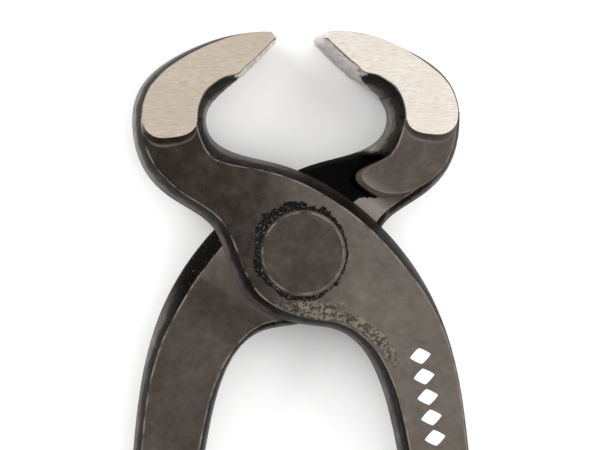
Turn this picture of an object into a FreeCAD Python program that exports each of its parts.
import FreeCAD, Part
import math
import os
import Sketcher

# Carpenter's pincers: two drop-forged levers that cross in a half-lap joint, one flush rivet and two
# dipped grips. Frame: the pincers lie flat. The origin is the pivot, z = 0 is the lap plane between the
# levers, +Y points to the jaws, +X to the right and +Z along the rivet, out of the front lever's face.

os.makedirs("parts", exist_ok=True)
doc = FreeCAD.newDocument("pincers")

# ---------------------------------------------------------------- driving dimensions, mm and degrees
sheet = doc.addObject("Spreadsheet::Sheet", "Dimensions")
DIMENSIONS = {
    "joint_half": 9.0,  # half the joint's thickness: one lever's share of the lap
    "jaw_half": 11.0,  # half the cutting edge's width
    "lap_gap": 0.15,  # play between the two lap faces
    "shank_radius": 6.0,  # rivet shank
    "head_radius": 8.5,  # rivet head, flush with the joint's face
    "head_land": 1.2,  # straight rim of the head above its cone
    "running_fit": 0.05,  # play between the rivet and the lever that turns on it
    "root_half": 6.4,  # handle's half thickness at the end of the forged head
    "root_length": 45.0,  # from the pivot to the end of the forged head
    "root_overlap": 2.0,  # the drawn-out handle starts this far inside the head
    "front_fall": 18.0,  # from the pivot to where the joint's face starts to fall to the handle
    "back_fall": 4.0,  # the same on the far side, hidden by the lap recess
    "back_foot": 7.4,  # far side's half thickness where that fall starts
    "clearance": 6.0,  # how far a cutter reaches past the steel
    "grip_wall": 1.4,  # dipped sleeve
    "grip_start": 78.0,  # from the pivot to the sleeve's open end
    "handle_length": 179.6,  # from the pivot to the bare handle's end
}
for row, (alias, value) in enumerate(DIMENSIONS.items(), start=1):
    sheet.set(f"A{row}", alias)
    sheet.set(f"B{row}", str(value))
    sheet.setAlias(f"B{row}", alias)
doc.recompute()


def size(alias):
    """A driving dimension, read from the sheet."""
    return float(sheet.get(alias))


# The lever's parting line, as the control points of two cubic curves about the pivot, for the lever whose jaw
# is on the left. The throat curve is the jaw's hollow side and goes on as the handle's outer edge.
# The crown curve is the jaw's back and goes on round the joint as the handle's inner edge.
THROAT = [(-4.9, 41.7), (-8.7, 37.7), (-13.0, 33.8), (-18.8, 29.2), (-17.9, 22.6), (-11.6, 19.5),
          (-3.0, 18.0), (5.5, 14.2), (14.0, 8.2), (22.0, -0.5), (28.0, -11.0), (31.3, -24.0), (33.4, -38.0),
          (34.3, -45.0)]
CROWN = [(-5.9, 44.0), (-11.0, 44.6), (-22.0, 41.4), (-32.2, 34.5), (-33.6, 25.0), (-31.6, 15.5),
         (-25.0, 9.6), (-17.0, 6.2), (-14.3, -1.5), (-10.8, -10.5), (-1.0, -14.5), (8.0, -14.6),
         (14.5, -21.0), (17.5, -30.0), (19.3, -40.0), (20.0, -45.0)]
NOSE = (-4.7, 42.6)  # the cutting edge

# Ground side of the jaw: it stands proud of the neck and ends in a round shoulder above it. The curve
# crosses the lever from the end of the cutting bevel, down the hollow side and round the shoulder.
GROUND_EDGE = [(-6.0, 36.7), (-13.6, 37.7), (-19.5, 34.0), (-21.2, 28.5), (-21.5, 24.0), (-27.5, 22.0),
               (-32.0, 22.6), (-40.0, 29.0)]
BELOW_GROUND = [(-60.0, 29.0), (-60.0, -60.0), (60.0, -60.0), (60.0, 36.7)]  # a frame round the neck and joint

# Lap recess: what is cut away from the lever's far half so that the other lever can cross and turn there.
# The neck wall runs round the foot of the neck, and the handle wall is a straight shoulder.
NECK_WALL = [(-34.0, 7.2), (-24.0, 9.4), (-15.6, 10.6), (-12.0, 12.4), (-11.6, 16.2), (-17.0, 21.6),
             (-13.0, 26.0)]
HANDLE_WALL = [(2.0, -26.0), (9.0, -17.6), (17.5, -13.4), (36.0, -6.6)]
BESIDE_LAP, BEYOND_CROWN = [(40.0, 26.0)], (-34.0, -26.0)  # clear of the lever, on either side of the recess

# Handle below the head, at even steps: (sideways offset, half width, half thickness, corner radius)
HANDLE_SECTIONS = [(27.0, 6.9, 6.2, 2.4), (29.8, 6.0, 5.6, 3.0), (31.0, 5.4, 5.0, 3.2),
                   (30.6, 5.0, 4.6, 3.2), (29.6, 4.9, 4.4, 3.2), (30.2, 4.9, 4.4, 3.2)]


def point(x, y, z=0.0):
    return FreeCAD.Vector(x, y, z)


def origin_plane(body, role):
    """The body's own XY, XZ or YZ plane."""
    return next(plane for plane in body.Origin.OriginFeatures if plane.Role == role)


def new_sketch(body, name, role="XY_Plane", offset="0"):
    """A sketch on one of the body's planes, moved off it by an expression over the sheet."""
    sketch = body.newObject("Sketcher::SketchObject", name)
    sketch.AttachmentSupport = (origin_plane(body, role), [""])
    sketch.MapMode = "FlatFace"
    sketch.setExpression("AttachmentOffset.Base.z", offset)
    return sketch


def add_curve(sketch, control_points):
    """A clamped cubic curve over the control points."""
    curve = Part.BSplineCurve()
    curve.buildFromPoles([point(x, y) for x, y in control_points], False, 3)
    sketch.addGeometry(curve)


def add_lines(sketch, points):
    """An open run of straight lines."""
    for start, end in zip(points, points[1:]):
        sketch.addGeometry(Part.LineSegment(point(*start), point(*end)))


def add_outline(sketch, corners):
    """A closed run of lines. Its corners are pairs of expressions, each held by two constraints."""
    places = [[float(sketch.evalExpression(term)) for term in corner] for corner in corners]
    add_lines(sketch, places + places[:1])
    for number, (corner, place) in enumerate(zip(corners, places)):
        sketch.addConstraint(Sketcher.Constraint("Coincident", (number - 1) % len(corners), 2, number, 1))
        for kind, term, value in zip(("DistanceX", "DistanceY"), corner, place):
            held = sketch.addConstraint(Sketcher.Constraint(kind, -1, 1, number, 1, value))
            sketch.setExpression(f"Constraints[{held}]", term)


def add_rounded_box(sketch, centre_x, half_width, half_height, radius):
    """A rectangle with round corners, as four lines and four arcs."""
    for side in range(4):
        turn = math.radians(90 * side)
        wide, tall = (half_width, half_height) if side % 2 == 0 else (half_height, half_width)

        def place(x, y):
            across = x * math.cos(turn) - y * math.sin(turn)
            return point(centre_x + across, x * math.sin(turn) + y * math.cos(turn))

        corner = place(wide - radius, tall - radius)
        circle = Part.Circle(corner, point(0, 0, 1), radius)
        sketch.addGeometry(Part.LineSegment(place(wide, -(tall - radius)), place(wide, tall - radius)))
        sketch.addGeometry(Part.ArcOfCircle(circle, turn, turn + math.pi / 2))


def pad_both_ways(body, sketch, name, half):
    """Extrudes the sketch to both sides of the lap plane, by the sheet's half thickness."""
    pad = body.newObject("PartDesign::Pad", name)
    pad.Profile = sketch
    pad.Midplane = True
    pad.setExpression("Length", f"2 * Dimensions.{half}")


def cut_out(body, sketch, name, deep, midplane=False, reverse=False):
    """Cuts the sketch out of the body to a depth from the sheet, one way or both ways."""
    pocket = body.newObject("PartDesign::Pocket", name)
    pocket.Profile = sketch
    pocket.Midplane = midplane
    pocket.Reversed = reverse
    pocket.setExpression("Length", deep)


# The rivet's half section, as expressions: the cone under its head slopes at 45 degrees
SHANK, HEAD, FACE = "Dimensions.shank_radius", "Dimensions.head_radius", "Dimensions.joint_half"
CONE_TOP = f"{FACE} - Dimensions.head_land"
CONE_FOOT = f"{CONE_TOP} - ({HEAD} - {SHANK})"


def cut_bore(body, name, play):
    """The rivet hole of a lever: shank, cone and the head's rim, all with the given play."""
    profile = new_sketch(body, f"{name}_bore_profile", "XZ_Plane")
    past = f"{FACE} + Dimensions.clearance"
    shank, head = f"{SHANK} + {play}", f"{HEAD} + {play}"
    add_outline(profile, [("0", f"-({past})"), (shank, f"-({past})"), (shank, CONE_FOOT),
                          (head, CONE_TOP), (head, past), ("0", past)])
    bore = body.newObject("PartDesign::Groove", f"{name}_bore")
    bore.Profile = profile
    bore.ReferenceAxis = (profile, ["V_Axis"])
    bore.Angle = 360.0


def add_loft(body, name, stations, first, last, wall):
    """Rounded sections at even steps from first to last, thicker by the wall, lofted into one bar."""
    sections = []
    for number, (offset, half_width, half_thick, radius) in enumerate(stations):
        share = number / (len(stations) - 1)
        station = f"({first}) * (1 - {share}) + ({last}) * {share}"
        section = new_sketch(body, f"{name}_{number}", "XZ_Plane", station)
        add_rounded_box(section, offset, half_width + wall, half_thick + wall, radius + wall)
        sections.append(section)
    loft = body.newObject("PartDesign::AdditiveLoft", name)
    loft.Profile = sections[0]
    loft.Sections = sections[1:]
    body.Tip = loft


def make_lever(name, play):
    """One forging, with its jaw on the left and its lap half above z = 0."""
    body = doc.addObject("PartDesign::Body", name)
    body.Label = name

    outline = new_sketch(body, f"{name}_outline")
    add_curve(outline, THROAT)
    add_curve(outline, CROWN)
    add_lines(outline, [THROAT[0], NOSE, CROWN[0]])
    add_lines(outline, [THROAT[-1], CROWN[-1]])
    pad_both_ways(body, outline, f"{name}_head", "jaw_half")
    doc.recompute()

    # below the ground edge the neck and joint are lower than the jaw, on both faces
    for face, sign in (("front", ""), ("back", "-")):
        neck = new_sketch(body, f"{name}_neck_{face}", offset=f"{sign}{FACE}")
        add_curve(neck, GROUND_EDGE)
        add_lines(neck, [GROUND_EDGE[-1]] + BELOW_GROUND + [GROUND_EDGE[0]])
        cut_out(body, neck, f"{name}_neck_{face}_cut", "Dimensions.jaw_half", reverse=not sign)
    doc.recompute()

    # the root thins from the joint's face to the handle, on both sides
    root, end = "-Dimensions.root_length", "-Dimensions.root_length - 2 * Dimensions.clearance"
    for face, sign, foot in (("front", "", FACE), ("back", "-", "Dimensions.back_foot")):
        fall = new_sketch(body, f"{name}_fall_{face}", "YZ_Plane")
        half, past = f"{sign}Dimensions.root_half", f"{sign}({FACE} + Dimensions.clearance)"
        begin = f"-Dimensions.{face}_fall"
        add_outline(fall, [(begin, f"{sign}{foot}"), (root, half), (end, half), (end, past), (begin, past)])
        cut_out(body, fall, f"{name}_fall_{face}_cut", "Dimensions.handle_length", midplane=True)
    doc.recompute()

    lap = new_sketch(body, f"{name}_lap", offset="Dimensions.lap_gap / 2")
    add_lines(lap, NECK_WALL + BESIDE_LAP + HANDLE_WALL[::-1] + [BEYOND_CROWN, NECK_WALL[0]])
    cut_out(body, lap, f"{name}_lap_recess", "2 * Dimensions.jaw_half")
    cut_bore(body, name, play)
    doc.recompute()

    add_loft(body, f"{name}_handle", HANDLE_SECTIONS, "Dimensions.root_length - Dimensions.root_overlap",
             "Dimensions.handle_length", 0.0)
    return body


def make_grip(name, lever):
    """The dipped sleeve: the handle's lower sections, thicker by the wall, less the lever inside it."""
    blank = doc.addObject("PartDesign::Body", f"{name}_blank")
    add_loft(blank, f"{name}_skin", HANDLE_SECTIONS[1:], "Dimensions.grip_start",
             "Dimensions.handle_length + Dimensions.grip_wall", size("grip_wall"))
    grip = doc.addObject("Part::Cut", name)
    grip.Base = blank
    grip.Tool = lever
    grip.Label = name
    return grip


def make_rivet(name):
    """Shank with a countersunk head at both faces, turned about the pivot axis."""
    body = doc.addObject("PartDesign::Body", name)
    body.Label = name
    sketch = new_sketch(body, f"{name}_profile", "XZ_Plane")
    add_outline(sketch, [("0", f"-{FACE}"), (HEAD, f"-{FACE}"), (HEAD, f"-({CONE_TOP})"),
                         (SHANK, f"-({CONE_FOOT})"), (SHANK, CONE_FOOT), (HEAD, CONE_TOP), (HEAD, FACE),
                         ("0", FACE)])
    turned = body.newObject("PartDesign::Revolution", f"{name}_turned")
    turned.Profile = sketch
    turned.ReferenceAxis = (sketch, ["V_Axis"])
    turned.Angle = 360.0
    return body


turned_over = FreeCAD.Placement(point(0, 0, 0), FreeCAD.Rotation(point(0, 1, 0), 180))
front_lever = make_lever("front_lever", "Dimensions.running_fit")
back_lever = make_lever("back_lever", "0")
doc.recompute()
front_grip = make_grip("front_grip", front_lever)
back_grip = make_grip("back_grip", back_lever)
pivot_rivet = make_rivet("pivot_rivet")
doc.recompute()
back_lever.Placement = turned_over
back_grip.Base.Placement = turned_over
doc.recompute()

for thing in doc.Objects:
    if "Invalid" in thing.State or "Error" in thing.State:
        raise SystemExit(f"{thing.Name} is {thing.State}")
for node in (front_lever, back_lever, front_grip, back_grip, pivot_rivet):
    shape = node.Shape
    if shape.isNull() or not shape.isValid() or len(shape.Solids) != 1:
        raise SystemExit(f"{node.Label}: {len(shape.Solids)} solids, valid {shape.isValid()}")
    box = shape.BoundBox
    print(f"{node.Label}: {shape.Volume / 1000:.2f} cm3, x {box.XMin:.1f}..{box.XMax:.1f}, "
          f"y {box.YMin:.1f}..{box.YMax:.1f}, z {box.ZMin:.1f}..{box.ZMax:.1f}")
    shape.exportStep(f"parts/{node.Label}.step")
